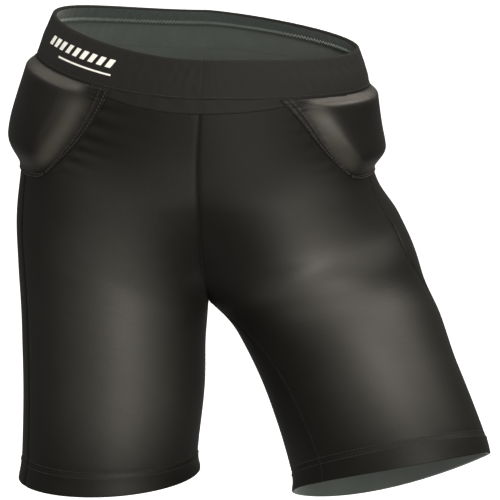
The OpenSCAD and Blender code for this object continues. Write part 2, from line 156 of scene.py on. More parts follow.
def leg_rings(side, u):
    """The rings from one above the fork to one below the hem."""
    rings = [leg_point(k, side, u) for k in range(HEM_ROW - FORK_ROW + 1)]
    m = (np.maximum(np.sin(math.pi * u), 0) ** 0.8)[:, None]
    above = m * torso_point(FORK_ROW - 1, side, u) + (1 - m) * (2 * rings[0] - rings[1])
    return np.stack([above, *rings, 2 * rings[-1] - rings[-2]])


def blend4(a, b, c, d, t):
    return (2 * b + (c - a) * t + (2 * a - 5 * b + 4 * c - d) * t**2 + (3 * b - a - 3 * c + d) * t**3) / 2


def skin(side, u, v):
    """Points of the cloth surface. u is 0 at the front edge and 1 at the back edge, v counts rings."""
    u, v = (np.array(x, float) for x in np.broadcast_arrays(u, v))
    shape, u, v = u.shape, u.ravel(), v.ravel()
    out = np.empty((len(u), 3))
    for upper, base, rings, last in (
        (True, 0, torso_rings, FORK_ROW - 1),
        (False, FORK_ROW, leg_rings, HEM_ROW - FORK_ROW - 1),
    ):
        pick = (v <= FORK_ROW) == upper
        if pick.any():
            r = rings(side, u[pick])
            k = np.clip(np.floor(v[pick] - base).astype(int), 0, last)
            n = np.arange(len(k))
            t = (v[pick] - base - k)[:, None]
            out[pick] = blend4(r[k, n], r[k + 1, n], r[k + 2, n], r[k + 3, n], t)
    return out.reshape(shape + (3,)) * MM


def outward(side, u, v, e=0.01):
    """Outward direction; on the centre seams it stays in the middle plane, so both halves agree."""
    u, v = (np.array(x, float) for x in np.broadcast_arrays(u, v))
    down = skin(side, u, np.minimum(v + e, HEM_ROW)) - skin(side, u, np.maximum(v - e, 0))
    edge = (u < e / 2) | (u > 1 - e / 2)
    after = np.where(edge, e, np.minimum(u + e, 1))
    before = np.where(edge, 1 - e, np.maximum(u - e, 0))
    n = unit(-side * np.cross(skin(side, after, v) - skin(side, before, v), down))
    back = np.where(u > 0.5, -1, 1)
    middle = unit(np.stack([0 * u, down[..., 2] * back, -down[..., 1] * back], -1))
    n = np.where((edge & (v < FORK_ROW))[..., None], middle, n)
    return np.where((edge & (np.abs(v - FORK_ROW) < e))[..., None], np.array([0.0, 0.0, -1.0]), n)


def lifted(side, u, v, lift):
    u, v, lift = (np.array(x, float) for x in np.broadcast_arrays(u, v, lift))
    return skin(side, u, v) + lift[..., None] * outward(side, u, v)


def loop_uv(share):
    """(side, u) for a share 0..1 of the way round the body: down the right half, back up the left."""
    share = np.asarray(share, float) % 1
    return np.where(share < 0.5, RIGHT, LEFT), np.where(share < 0.5, share * 2, 2 - share * 2)


def lifted_loop(share, v, lift):
    """lifted() for points anywhere round the body."""
    share, v, lift = (np.array(x, float) for x in np.broadcast_arrays(share, v, lift))
    side, u = loop_uv(share)
    return np.where(
        (side == RIGHT)[..., None], lifted(RIGHT, u, v, lift), lifted(LEFT, u, v, lift)
    )


def outward_loop(share, v):
    """outward() for points anywhere round the body."""
    return unit(lifted_loop(share, v, 1 * MM) - lifted_loop(share, v, 0))


# ---- Small shapes in the cloth: seams sink, stitching draws it in, and tight edges pucker


def wobble(x, y, seed):
    """Smooth, repeatable unevenness from -1 to 1, about one swell per unit of x or y."""
    a = np.sin(2.1 * x + 1.7 * np.sin(1.3 * y + seed) + 2.3 * seed)
    b = np.sin(1.9 * y - 1.4 * np.sin(1.1 * x - seed) + 1.1 * seed)
    c = np.sin(1.2 * (x + y) + 0.9 * seed)
    return (a + b + c) / 3


def pad_front_u(side, v):
    """The line of a hip pad's front edge, in u, at ring v."""
    b = np.clip((v - PAD_TOP) / (PAD_BOTTOM[side] - PAD_TOP), 0, 1)
    return PAD_MID - (PAD_HALF[side] - PAD_TAPER[side] * b ** PAD_CURVE[side])


def cloth_lift(side, u, v):
    """How far the panels' outer face stands off the plain surface, in metres."""
    u, v = (np.array(x, float) for x in np.broadcast_arrays(u, v))
    seed = 1.0 if side == LEFT else 2.0
    to_front, to_back = u * U_SPAN, (1 - u) * U_SPAN
    to_side = np.where(v > PAD_BOTTOM[side], np.abs(u - SIDE_SEAM) * U_SPAN, 1)
    lift = np.zeros(u.shape)
    for k, to_seam in enumerate((to_front, to_back, to_side)):
        lift -= 0.55 * MM * bell(to_seam, 2.0 * MM)
        ripple = np.sin(v * V_SPAN / (4.2 * MM) * math.tau + 2 * wobble(v * 2, k, seed + k))
        lift += 0.13 * MM * ripple * np.exp(-to_seam / (6 * MM)) * (1 - bell(to_seam, 1 * MM))
    lift += 0.3 * MM * ramp(v, HEM_STITCH_ROW, HEM_STITCH_ROW + 0.1)
    lift -= 0.4 * MM * bell((v - HEM_STITCH_ROW - 0.05) * 17 * MM, 1.0 * MM)
    hem_pull = np.exp(-np.abs(v - HEM_STITCH_ROW) * 30 * MM / (5 * MM))
    lift += 0.16 * MM * hem_pull * np.sin(u * U_SPAN / (5 * MM) * math.tau + 2 * wobble(u * 9, 0, seed))
    # Puckers run out from the tight front seam of each hip pad
    off_pad = (pad_front_u(side, v) - u) * U_SPAN
    down = (v - PAD_TOP) * V_SPAN
    fan = np.sin(down / (10.5 * MM) * math.tau - off_pad / (30 * MM) + 2.2 * wobble(v * 3, 0, seed))
    reach = np.exp(-np.abs(off_pad) / (14 * MM)) * ramp(v, 1.1, 1.5) * (1 - ramp(v, 2.2, 2.8))
    lift += PUCKER[side] * fan * reach * np.where(off_pad > 0, 1, 0.2)
    # A faint crease where the thigh meets the hip, and the unevenness of a garment on a form
    along = (v - CREASE_V) * V_SPAN
    across = (u - CREASE_U) * U_SPAN - 1.1 * along
    lift -= 0.12 * MM * bell(across, 7 * MM) * bell(along, 16 * MM)
    lift += 0.45 * MM * wobble(u * 9, v * 1.6, seed) * ramp(v, 1.2, 1.8) * (1 - ramp(v, 7.4, 8))
    return lift


def band_lift(share, v):
    """Slight gathers of the casing over its elastic, in metres."""
    u = np.asarray(share, float) * 2 * U_SPAN
    fold = np.sin(u / (9 * MM) * math.tau + 2.5 * wobble(u * 40, v * 2, 1.0))
    crinkle = wobble(u * 420, v * 9, 4.0)
    return (0.16 * fold * np.sin(math.pi * np.clip(v, 0, 1)) ** 0.6 + 0.2 * crinkle) * MM


# ---- Mesh helpers


def make_mesh(name, points, faces, materials, uv=None, face_material=None, attributes=None):
    """A mesh object from numpy points and index faces, turned so that its volume is positive."""
    points = np.asarray(points, float)
    quads = [tuple(int(i) for i in f) for f in faces]
    triangles = [f[:3] for f in quads] + [(f[0], f[2], f[3]) for f in quads if len(f) > 3]
    a, b, c = (points[np.array(triangles)[:, i]] for i in range(3))
    if np.einsum("ij,ij->i", a, np.cross(b, c)).sum() < 0:
        quads = [f[::-1] for f in quads]
    mesh = bpy.data.meshes.new(name)
    mesh.from_pydata(points.tolist(), [], quads)
    mesh.polygons.foreach_set("use_smooth", [True] * len(quads))
    for m in materials:
        mesh.materials.append(m)
    if face_material is not None:
        mesh.polygons.foreach_set("material_index", np.asarray(face_material, np.int32))
    if uv is None:
        uv = np.stack([points[:, 0] + points[:, 1], points[:, 2]], -1)
    layer = mesh.uv_layers.new(name="UVMap")
    corner = np.empty(len(mesh.loops), np.int32)
    mesh.loops.foreach_get("vertex_index", corner)
    layer.data.foreach_set("uv", np.asarray(uv, np.float32)[corner].ravel())
    for key, values in (attributes or {}).items():
        attribute = mesh.attributes.new(key, "FLOAT", "POINT")
        attribute.data.foreach_set("value", np.asarray(values, np.float32))
    mesh.set_sharp_from_angle(angle=math.radians(75))
    mesh.update()
    piece = bpy.data.objects.new(name, mesh)
    bpy.context.scene.collection.objects.link(piece)
    return piece


def grid_faces(rows, columns, first=0, wrap=False):
    faces = []
    for r in range(rows - 1):
        for c in range(columns if wrap else columns - 1):
            d = (c + 1) % columns
            i = first + r * columns
            faces.append((i + c, i + d, i + columns + d, i + columns + c))
    return faces


def grid_border(rows, columns, first=0):
    """The indices round the border of a grid, in order."""
    ring = list(range(columns))
    ring += [r * columns + columns - 1 for r in range(1, rows)]
    ring += [(rows - 1) * columns + c for c in range(columns - 2, -1, -1)]
    ring += [r * columns for r in range(rows - 2, 0, -1)]
    return [first + i for i in ring]


def box_faces(rows, columns, first=0):
    """Faces of the two grids of a closed piece, and of the rim between them, as three lists."""
    n = rows * columns
    over = grid_faces(rows, columns, first)
    under = [f[::-1] for f in grid_faces(rows, columns, first + n)]
    ring = grid_border(rows, columns, first)
    rim = [(ring[i], ring[i - 1], ring[i - 1] + n, ring[i] + n) for i in range(len(ring))]
    return over, under, rim


def shell(name, outer, inner, materials, uv, attributes=None):
    """A closed piece from an outer and an inner grid; the inner face takes the second material."""
    over, under, rim = box_faces(*outer.shape[:2])
    kinds = [0] * len(over) + [len(materials) - 1] * len(under) + [0] * len(rim)
    points = np.concatenate([outer.reshape(-1, 3), inner.reshape(-1, 3)])
    doubled = {k: np.tile(np.ravel(x), 2) for k, x in (attributes or {}).items()}
    uv = np.tile(uv.reshape(-1, 2), (2, 1))
    return make_mesh(name, points, over + under + rim, materials, uv, kinds, doubled)


def tube_points(path, up, half_w, half_t, sides=6):
    """Rings of points round a path, flat against the surface whose outward directions are up."""
    path = np.asarray(path, float)
    along = unit(np.gradient(path, axis=0))
    across = unit(np.cross(along, up))
    lift = unit(np.cross(across, along))
    turn = np.arange(sides) / sides * math.tau
    half_w, half_t = (np.broadcast_to(x, len(path))[:, None, None] for x in (half_w, half_t))
    return (
        path[:, None]
        + half_w * np.cos(turn)[None, :, None] * across[:, None]
        + half_t * np.sin(turn)[None, :, None] * lift[:, None]
    )


def tubes(name, runs, material):
    """One piece of many threads. A run is (rings of points, closed)."""
    points, faces, uv, first = [], [], [], 0
    for rings, closed in runs:
        n, sides = rings.shape[:2]
        middle = rings.mean(1)
        length = np.concatenate([[0], np.cumsum(np.linalg.norm(np.diff(middle, axis=0), axis=1))])
        for s in range(n if closed else n - 1):
            t = (s + 1) % n
            for k in range(sides):
                j = (k + 1) % sides
                corners = (s * sides + k, s * sides + j, t * sides + j, t * sides + k)
                faces.append(tuple(first + i for i in corners))
        if not closed:
            faces.append(tuple(first + k for k in range(sides - 1, -1, -1)))
            faces.append(tuple(first + (n - 1) * sides + k for k in range(sides)))
        points.append(rings.reshape(-1, 3))
        turned = np.tile(np.arange(sides) / sides * 2 * MM, n)
        uv.append(np.stack([turned, np.repeat(length, sides)], -1))
        first += n * sides
    return make_mesh(name, np.concatenate(points), faces, [material], np.concatenate(uv))


def resample(path, up, spacing):
    """Points a fixed distance apart along a path, with their outward directions."""
    length = np.concatenate([[0], np.cumsum(np.linalg.norm(np.diff(path, axis=0), axis=1))])
    at = np.linspace(0, length[-1], max(3, int(round(length[-1] / spacing)) + 1))
    even, even_up = (np.stack([np.interp(at, length, x[:, i]) for i in range(3)], -1) for x in (path, up))
    return even, unit(even_up)


def stitch_runs(path, up, pitch=3.0 * MM, fill=0.78, radius=0.3 * MM):
    """Separate lockstitches along a path: each rises out of the cloth, lies on it and dives back."""
    fine, fine_up = resample(path, up, pitch / 6)
    runs = []
    for start in range(0, len(fine) - 6, 6):
        p, n = fine[start : start + 6], fine_up[start : start + 6]
        t = np.linspace(0, 1, 6)
        p = p[0] + (p[-1] - p[0]) * (t * fill / (5 / 6))[:, None]
        swell = np.sin(math.pi * np.clip(t, 0.04, 0.96)) ** 0.5
        p = p + n * (radius * (swell * 1.1 - 0.7))[:, None]
        half = radius * (0.5 + 0.5 * swell)
        runs.append((tube_points(p, n, half, half), False))
    return runs


def uv_of(side, u, v):
    """Cloth coordinates in metres: round the body, and down it."""
    u, v = np.broadcast_arrays(u, v)
    stations = np.linspace(0, HEM_ROW, 46)
    line = skin(side, np.full(46, 0.3), stations)
    down = np.concatenate([[0], np.cumsum(np.linalg.norm(np.diff(line, axis=0), axis=1))])
    return np.stack([u * U_SPAN, np.interp(v, stations, down)], -1)


# ---- Materials


class Nodes:
    """A short way to lay out one material's shader nodes."""

    def __init__(self, name):
        self.material = bpy.data.materials.new(name)
        self.material.use_nodes = True
        self.tree = self.material.node_tree
        self.shader = self.tree.nodes["Principled BSDF"]

    def add(self, kind, **values):
        node = self.tree.nodes.new("ShaderNode" + kind)
        for key, value in values.items():
            if key in node.inputs:
                node.inputs[key].default_value = value
            else:
                setattr(node, key, value)
        return node

    def link(self, source, node, socket):
        self.tree.links.new(source, node.inputs[socket])

    def pattern(self, kind, **values):
        """A texture laid out in the piece's cloth coordinates, which are metres."""
        node = self.add("Tex" + kind, **values)
        self.link(self.add("UVMap").outputs["UV"], node, "Vector")
        return node

    def noise(self, scale, detail=3.0):
        return self.pattern("Noise", Scale=scale, Detail=detail).outputs["Fac"]

    def wave(self, period, direction="X"):
        node = self.pattern("Wave", bands_direction=direction, Scale=math.tau / 20 / period)
        return node.outputs["Fac"]

    def math(self, operation, a, b):
        node = self.add("Math", operation=operation)
        for i, value in enumerate((a, b)):
            if isinstance(value, (int, float)):
                node.inputs[i].default_value = value
            else:
                self.tree.links.new(value, node.inputs[i])
        return node.outputs[0]

    def mottle(self, coarse, detail, fine, share):
        """Coarse unevenness with fine grain over it; share is the coarse part."""
        grain = self.math("MULTIPLY", self.noise(fine, 2.0), 1 - share)
        return self.math("ADD", self.math("MULTIPLY", self.noise(coarse, detail), share), grain)

    def spread(self, source, low, high):
        """source 0..1 mapped onto low..high."""
        node = self.add("MapRange")
        node.inputs["To Min"].default_value = low
        node.inputs["To Max"].default_value = high
        self.link(source, node, "Value")
        return node.outputs["Result"]

    def mixed(self, factor, first, second):
        """Colour from first to second, each given as three numbers or as another node's output."""
        node = self.add("Mix", data_type="RGBA")
        self.tree.links.new(factor, node.inputs[0])
        for i, colour in ((6, first), (7, second)):
            if isinstance(colour, tuple):
                node.inputs[i].default_value = (*colour, 1)
            else:
                self.tree.links.new(colour, node.inputs[i])
        return node.outputs[2]

    def shiny_with_painted_highlight(self, mottle, plain, painted_highlight_colours, specular):
        """Knit that is shinier where it is taut and lighter there as a painted highlight; returns its
        colour and the highlight mask.
        """
        shine_and_painted_highlight = self.add("Attribute", attribute_name="shine_and_painted_highlight").outputs["Fac"]
        self.link(self.spread(shine_and_painted_highlight, *specular), self.shader, "Specular IOR Level")
        return self.mixed(shine_and_painted_highlight, self.mixed(mottle, *plain), self.mixed(mottle, *painted_highlight_colours)), shine_and_painted_highlight

    def bump(self, height, distance, strength=1.0, under=None):
        node = self.add("Bump", Strength=strength, Distance=distance)
        self.link(height, node, "Height")
        if under is not None:
            self.link(under, node, "Normal")
        return node.outputs["Normal"]

    def finish(self, colour, rough, normal, specular=0.3, sheen=0.0, sheen_rough=0.5, sheen_tint=(1, 1, 1)):
        s = self.shader
        self.link(colour, s, "Base Color")
        self.link(rough, s, "Roughness")
        self.link(normal, s, "Normal")
        if specular is not None:
            s.inputs["Specular IOR Level"].default_value = specular
        s.inputs["Sheen Weight"].default_value = sheen
        s.inputs["Sheen Roughness"].default_value = sheen_rough
        s.inputs["Sheen Tint"].default_value = (*sheen_tint, 1)
        return self.material


def knit(n, pitch, depth):
    """Bump of a fine weft knit: upright wales, rows of loops leaning each way, and stray fibres."""
    wales = n.wave(pitch)
    courses = n.wave(pitch * 0.8, "Y")
    loops = n.math("MULTIPLY", wales, n.spread(courses, 0.45, 1.0))
    fibres = n.noise(2600, 2.0)
    height = n.math("ADD", loops, n.math("MULTIPLY", fibres, 1.2))
    slack = n.bump(n.noise(260, 4.0), 0.25 * MM, 0.5)
    return n.bump(height, depth, 0.8, slack)


def body_knit_material():
    """Near-black elastane knit, shinier where it is taut; its colour is lighter down the thighs as a
    painted highlight.
    """
    n = Nodes("body_knit")
    mottle = n.mottle(60, 4.0, 1500, 0.6)
    plain = (0.0028, 0.0026, 0.0022), (0.0056, 0.0053, 0.0045)
    # Painted highlight: these lighter colours are mixed in down the thighs
    painted_highlight_colours = (0.0215, 0.0206, 0.0182), (0.0350, 0.0338, 0.0304)
    colour, shine_and_painted_highlight = n.shiny_with_painted_highlight(mottle, plain, painted_highlight_colours, (0.13, 0.40))
    rough = n.math("SUBTRACT", n.spread(mottle, 0.53, 0.59), n.math("MULTIPLY", shine_and_painted_highlight, 0.02))
    normal = knit(n, 0.6 * MM, 0.035 * MM)
    return n.finish(colour, rough, normal, None, 0.02, 0.45, (0.9, 0.88, 0.82))


def pad_cover_material():
    """The same knit moulded taut over foam, a touch browner, with a painted highlight that makes it
    lightest on the foam's edges.
    """
    n = Nodes("pad_cover_knit")
    mottle = n.mottle(45, 4.0, 1500, 0.6)
    plain = (0.0024, 0.0022, 0.0018), (0.0052, 0.0047, 0.0038)
    # Painted highlight: these lighter colours are mixed in on the foam's edges
    painted_highlight_colours = (0.0190, 0.0172, 0.0140), (0.0330, 0.0300, 0.0245)
    colour, _ = n.shiny_with_painted_highlight(mottle, plain, painted_highlight_colours, (0.16, 0.42))
    normal = knit(n, 0.6 * MM, 0.03 * MM)
    return n.finish(colour, n.spread(mottle, 0.44, 0.52), normal, None, 0.02, 0.4, (0.9, 0.86, 0.78))


def band_material():
    """Matt casing cloth, mottled where it bunches over the elastic."""
    n = Nodes("waistband_knit")
    mottle = n.mottle(170, 5.0, 1700, 0.7)
    colour = n.mixed(n.spread(mottle, -0.4, 1.4), (0.0028, 0.0027, 0.0024), (0.0064, 0.0062, 0.0055))
    normal = knit(n, 0.6 * MM, 0.05 * MM)
    return n.finish(colour, n.spread(mottle, 0.60, 0.72), normal, 0.2, 0.02, 0.5)


def band_inside_material():
    """Inside of the band: a dark teal-grey tape."""
    n = Nodes("waistband_inside")
    mottle = n.noise(220, 4.0)
    colour = n.mixed(n.spread(mottle, -0.3, 1.3), (0.020, 0.027, 0.026), (0.036, 0.046, 0.044))
    return n.finish(colour, n.spread(mottle, 0.66, 0.8), knit(n, 0.9 * MM, 0.08 * MM), 0.2, 0.15, 0.6)


def lining_material():
    """Brushed grey-green inner face of the body knit."""
    n = Nodes("brushed_lining")
    fuzz = n.mottle(500, 5.0, 2400, 0.5)
    patchy = n.math("MULTIPLY", n.math("ADD", fuzz, n.noise(40, 3.0)), 0.5)
    colour = n.mixed(patchy, (0.038, 0.046, 0.044), (0.088, 0.101, 0.097))
    normal = n.bump(fuzz, 0.35 * MM, 0.6)
    return n.finish(colour, n.spread(fuzz, 0.75, 0.9), normal, 0.15, 0.25, 0.6, (0.9, 1.0, 0.95))


def thread_material(name, dark, light, specular=0.3):
    """Twisted sewing thread."""
    n = Nodes(name)
    twist = n.wave(0.5 * MM, "DIAGONAL")
    colour = n.mixed(n.math("MULTIPLY", twist, n.spread(n.noise(700), 0.6, 1.0)), dark, light)
    normal = n.bump(twist, 0.06 * MM, 0.6)
    return n.finish(colour, n.spread(n.noise(900), 0.55, 0.7), normal, specular, 0.05, 0.4)


def foam_material():
    """Closed-cell foam: a fine skin of cells, unevenly grey."""
    n = Nodes("closed_cell_foam")
    cells = n.pattern("Voronoi", Scale=1400.0).outputs["Distance"]
    uneven = n.math("MULTIPLY", cells, n.spread(n.noise(90), 0.6, 1.2))
    colour = n.mixed(uneven, (0.10, 0.10, 0.095), (0.22, 0.22, 0.21))
    return n.finish(colour, n.spread(n.noise(300), 0.7, 0.85), n.bump(cells, 0.2 * MM, 0.5), 0.25)


def webbing_material():
    """Woven elastic: ribs round the waist crossed by fine rubber cords."""
    n = Nodes("woven_elastic")
    ribs = n.wave(1.6 * MM, "Y")
    cords = n.wave(0.8 * MM)
    weave = n.math("MULTIPLY", ribs, n.spread(cords, 0.4, 1.0))
    worn = n.math("MULTIPLY", weave, n.spread(n.noise(200), 0.7, 1.0))
    colour = n.mixed(worn, (0.012, 0.012, 0.011), (0.05, 0.05, 0.047))
    return n.finish(colour, n.spread(n.noise(500), 0.55, 0.7), n.bump(weave, 0.2 * MM, 0.7), 0.3)


def print_material():
    """Slightly rubbery white print that takes up the knit's grain."""
    n = Nodes("white_rubber_print")
    wear = n.noise(900, 3.0)
    colour = n.mixed(wear, (0.56, 0.56, 0.54), (0.78, 0.78, 0.76))
    return n.finish(colour, n.spread(wear, 0.42, 0.58), n.bump(wear, 0.08 * MM, 0.5), 0.4)


BODY = body_knit_material()
PAD = pad_cover_material()
BAND = band_material()
BAND_INSIDE = band_inside_material()
LINING = lining_material()
BLACK_THREAD = thread_material("black_thread", (0.007, 0.007, 0.0065), (0.024, 0.0235, 0.022))
SEAM_THREAD = thread_material("seam_thread", (0.004, 0.004, 0.0036), (0.010, 0.010, 0.009), 0.12)
PAD_THREAD = thread_material("pad_thread", (0.014, 0.0135, 0.012), (0.052, 0.050, 0.046))
GREY_THREAD = thread_material("grey_thread", (0.20, 0.24, 0.225), (0.42, 0.47, 0.45))
FOAM = foam_material()
WEBBING = webbing_material()
PRINT = print_material()

# ---- How pieces follow the CAD bodies

SEAT = "seat"


def leg_body(side):
    return NAMES[side] + "_leg"


def bend_with_leg(piece):
    """Bakes the piece's placement into its mesh; it is not tied to the seat or to a leg."""
    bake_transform(piece)


# ---- Pieces


def edged(start, stop, count, fine):
    """Stations from start to stop, with three extra close to each end for the rolled edge."""
    near = np.array([0.3, 0.9, 1.9]) * fine
    middle = np.linspace(start + 4 * fine, stop - 4 * fine, count)
    return np.concatenate([[start], start + near, middle, stop - near[::-1], [stop]])


def rolled(distance, radius=1.3 * MM):
    """0 at a cut edge rising to 1 a little way in, as a cloth edge rounds over."""
    t = np.clip(np.asarray(distance, float) / radius, 0, 1)
    return np.sqrt(np.maximum(1 - (1 - t) ** 2, 0))


# The middle of the painted highlight down each thigh, where the cloth is taut, in u, at the rings of the
# first list, and its half width
HIGHLIGHT_V = [3.2, 4.3, 5.4, 7.1, 8]
HIGHLIGHT_U = {RIGHT: [0.185, 0.20, 0.225, 0.225, 0.225], LEFT: [0.245, 0.255, 0.24, 0.175, 0.155]}
HIGHLIGHT_HALF = {RIGHT: 0.11, LEFT: 0.085}


def thigh_shine_and_painted_highlight(side, u, v):
    """Painted highlight down the thighs, 0 to 1, where the knit is taut: its colour is lightened there and
    it is made shinier.
    """
    centre = np.interp(v, HIGHLIGHT_V, HIGHLIGHT_U[side])
    down = ramp(v, 1.8, 4.2) * (1 - 0.85 * ramp(v, 6.9, 8.4))
    crotch = 1 - 0.8 * bell(u, 0.14) * (1 - ramp(v, 4.8, 6.2))
    return np.clip(bell(u - centre, HIGHLIGHT_HALF[side]) * down * crotch, 0, 1)


def top_edge(u):
    """Upper edge of the front panels: under the yoke at the centre, then along the band."""
    u = np.asarray(u, float)
    return 1 + YOKE_SHARE * np.sqrt(np.maximum(1 - (u / YOKE_END) ** 2, 0))


def panel_cloth(part, side):
    """One panel from the band to the hem, dark outside and brushed grey inside."""
    front = part == "front"
    u0, u1 = (0, SIDE_SEAM) if front else (SIDE_SEAM, 1)
    us = edged(u0, u1, 76 if front else 96, 0.5 * MM / U_SPAN)
    share = edged(0, 1, 168, 0.5 * MM / 0.36)
    top = top_edge(us) if front else np.ones(len(us))
    v = top[None, :] + share[:, None] * (HEM_ROW - top[None, :])
    u = np.broadcast_to(us[None, :], v.shape)
    edge_in = np.minimum((u - u0), (u1 - u)) * U_SPAN
    edge_in = np.minimum(edge_in, (HEM_ROW - v) * 30 * MM)
    full = np.maximum(rolled(edge_in), 0.9 * (v < 1.3) * (edge_in > 0.5 * MM))
    shape = cloth_lift(side, u, v)
    middle = -CLOTH_T * 0.5
    outer = lifted(side, u, v, middle + 0.08 * MM + (CLOTH_T * 0.5 - 0.08 * MM) * full + shape)
    inner = lifted(side, u, v, middle - 0.08 * MM - (CLOTH_T * 0.5 - 0.08 * MM) * full + shape * 0.6)
    name = f"{part}_cloth_{NAMES[side]}"
    # Painted highlight mask down the thigh; the same mask makes the knit shinier there
    shine_and_painted_highlight = {"shine_and_painted_highlight": thigh_shine_and_painted_highlight(side, u, v)}
    piece = shell(name, outer, inner, [BODY, LINING], uv_of(side, u, v), shine_and_painted_highlight)
    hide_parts(f"{part}_panel_{NAMES[side]}", f"{part}_leg_{NAMES[side]}")
    if front:
        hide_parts(f"stretch_zone_{NAMES[side]}")
    bend_with_leg(piece)


def hem_turning(side):
    """The turned-up hem inside each leg, brushed face showing."""
    rows, columns = 14, 150
    v = np.linspace(HEM_STITCH_ROW - 0.02, HEM_ROW - 0.02, rows)[:, None]
    u = np.broadcast_to(np.linspace(0, 1, columns + 1)[None, :-1], (rows, columns))
    v = np.broadcast_to(v, u.shape)
    ripple = 0.25 * MM * wobble(u * 22, v * 3, 2.0 + side)
    outer = lifted(side, u, v, -CLOTH_T - 0.45 * MM)
    inner = lifted(side, u, v, -2 * CLOTH_T - 0.45 * MM + ripple * 0.5)
    n = rows * columns
    faces = grid_faces(rows, columns, 0, True) + [f[::-1] for f in grid_faces(rows, columns, n, True)]
    for row, flip in ((0, False), (rows - 1, True)):
        for c in range(columns):
            d = (c + 1) % columns
            rim = (row * columns + d, row * columns + c, n + row * columns + c, n + row * columns + d)
            faces.append(rim[::-1] if flip else rim)
    uv = np.tile(uv_of(side, u, v).reshape(-1, 2), (2, 1))
    points = np.concatenate([outer.reshape(-1, 3), inner.reshape(-1, 3)])
    piece = make_mesh(f"hem_turning_{NAMES[side]}", points, faces, [LINING], uv)
    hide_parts(f"hem_fold_{NAMES[side]}")
    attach(piece, leg_body(side))


def on_cloth(side, u, v, above):
    """Points a given height above the shaped cloth, with their outward directions."""
    return lifted(side, u, v, cloth_lift(side, u, v) + above), outward(side, u, v)


def hem_stitches(side):
    """Two rows of stitching round each leg above the hem."""
    runs = []
    u = np.linspace(0, 1, 260)
    for row in (0.0, 0.14):
        path, up = on_cloth(side, u, np.full(260, HEM_STITCH_ROW + 0.02 + row), 0.1 * MM)
        runs += stitch_runs(path, up, 3.2 * MM, 0.76, 0.3 * MM)
    piece = tubes(f"hem_stitches_{NAMES[side]}", runs, BLACK_THREAD)
    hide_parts(f"hem_stitching_{NAMES[side]}")
    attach(piece, leg_body(side))


def flatlock(name, line, half_width, nodes, bend_side=None):
    """A flat seam along line (side, u, first v, last v): thread to and fro over a flat core."""
    side, u, v0, v1 = line
    cloth_line = on_cloth(side, np.full(90, float(u)), np.linspace(v0, v1, 90), 0.22 * MM)
    path, up = resample(*cloth_line, 0.85 * MM)
    along = unit(np.gradient(path, axis=0))
    across = unit(np.cross(along, up))
    way = np.where(np.arange(len(path)) % 2 == 0, 1, -1)[:, None]
    looper = tube_points(path + half_width * way * across, up, 0.26 * MM, 0.22 * MM, 5)
    core = tube_points(path - 0.12 * MM * up, up, half_width * 0.75, 0.3 * MM, 8)
    piece = tubes(name, [(looper, False), (core, False)], SEAM_THREAD)
    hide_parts(*nodes)
    if bend_side:
        bend_with_leg(piece)
    else:
        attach(piece, SEAT)


def seams():
    yoke_bottom = 1 + YOKE_SHARE + 0.02
    tail_bottom = TAIL_SPAN[1] + 0.05
    fork = FORK_ROW - 0.06
    flatlock("front_seam_flatlock", (LEFT, 0, yoke_bottom, fork), 0.55 * MM, ["front_centre_seam"])
    flatlock("back_seam_flatlock", (LEFT, 1, tail_bottom, fork), 0.8 * MM, ["back_centre_seam"])
    for side in (RIGHT, LEFT):
        end = NAMES[side]
        hem = HEM_ROW - 0.02
        outside = (side, SIDE_SEAM, PAD_BOTTOM[side] + 0.06, hem)
        inside = (side, 0, FORK_ROW + 0.08, hem)
        stood_for = [f"side_seam_hip_{end}", f"side_seam_leg_{end}"]
        flatlock(f"side_flatlock_{end}", outside, 0.6 * MM, stood_for, side)
        flatlock(f"inseam_flatlock_{end}", inside, 0.9 * MM, [f"inseam_{end}"], side)


def ring_piece(name, profile, materials, share, changes=()):
    """A closed ring round the waist, gathered like the band, from (lift, v) points in order round
    its section. The next material starts at each row in changes."""
    profile = np.asarray(profile, float)
    lift, v = profile[:, 0][:, None], profile[:, 1][:, None]
    s = np.broadcast_to(share[None, :], (len(profile), len(share)))
    v = np.broadcast_to(v, s.shape)
    grid = lifted_loop(s, v, lift + band_lift(s, v))
    count = len(profile)
    faces = []
    kinds = []
    columns = len(share)
    for r in range(count):
        q = (r + 1) % count
        for c in range(columns):
            d = (c + 1) % columns
            faces.append((r * columns + c, r * columns + d, q * columns + d, q * columns + c))
            kinds.append(sum(r >= row for row in changes))
    step = np.concatenate([[0], np.cumsum(np.linalg.norm(np.diff(grid[:, 0], axis=0), axis=1))])
    uv = np.stack([s * 2 * U_SPAN, np.broadcast_to(step[:, None], s.shape)], -1)
    return make_mesh(name, grid.reshape(-1, 3), faces, materials, uv.reshape(-1, 2), kinds)


def waistband():
    """The band: its top edge is folded in and sewn down as a casing, slightly gathered."""
    wall, t, round_v = CASING_WALL, BAND_T, 0.045
    over = np.linspace(0, math.pi, 9)[1:-1]
    down, turned = np.linspace(1, round_v, 17), np.linspace(round_v, CASING_END, 9)
    profile = [(0, v) for v in down]
    profile += [(-t / 2 + t / 2 * math.cos(a), round_v * (1 - math.sin(a))) for a in over]
    outside = len(profile)
    profile += [(-t, v) for v in turned]
    half = t / 2 - wall
    profile += [(-t / 2 - half, v) for v in turned[::-1]]
    profile += [(-t / 2 - half * math.cos(a), round_v * (1 - 0.5 * math.sin(a))) for a in over]
    lining = len(profile)
    profile += [(-wall, v) for v in down[::-1]]
    share = np.arange(330) / 330
    cloths = [BAND, BAND_INSIDE, LINING]
    piece = ring_piece("waistband_casing", profile, cloths, share, (outside, lining))
    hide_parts("waistband")
    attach(piece, SEAT)


def waist_elastic():
    outer, inner = -CASING_WALL - 0.35 * MM, -BAND_T + CASING_WALL + 0.35 * MM
    v = np.linspace(CASING_END - 0.03, 0.09, 8)
    profile = [(outer, x) for x in v] + [(inner, x) for x in v[::-1]]
    piece = ring_piece("waist_elastic_webbing", profile, [WEBBING], np.arange(240) / 240)
    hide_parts("waist_elastic")
    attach(piece, SEAT)


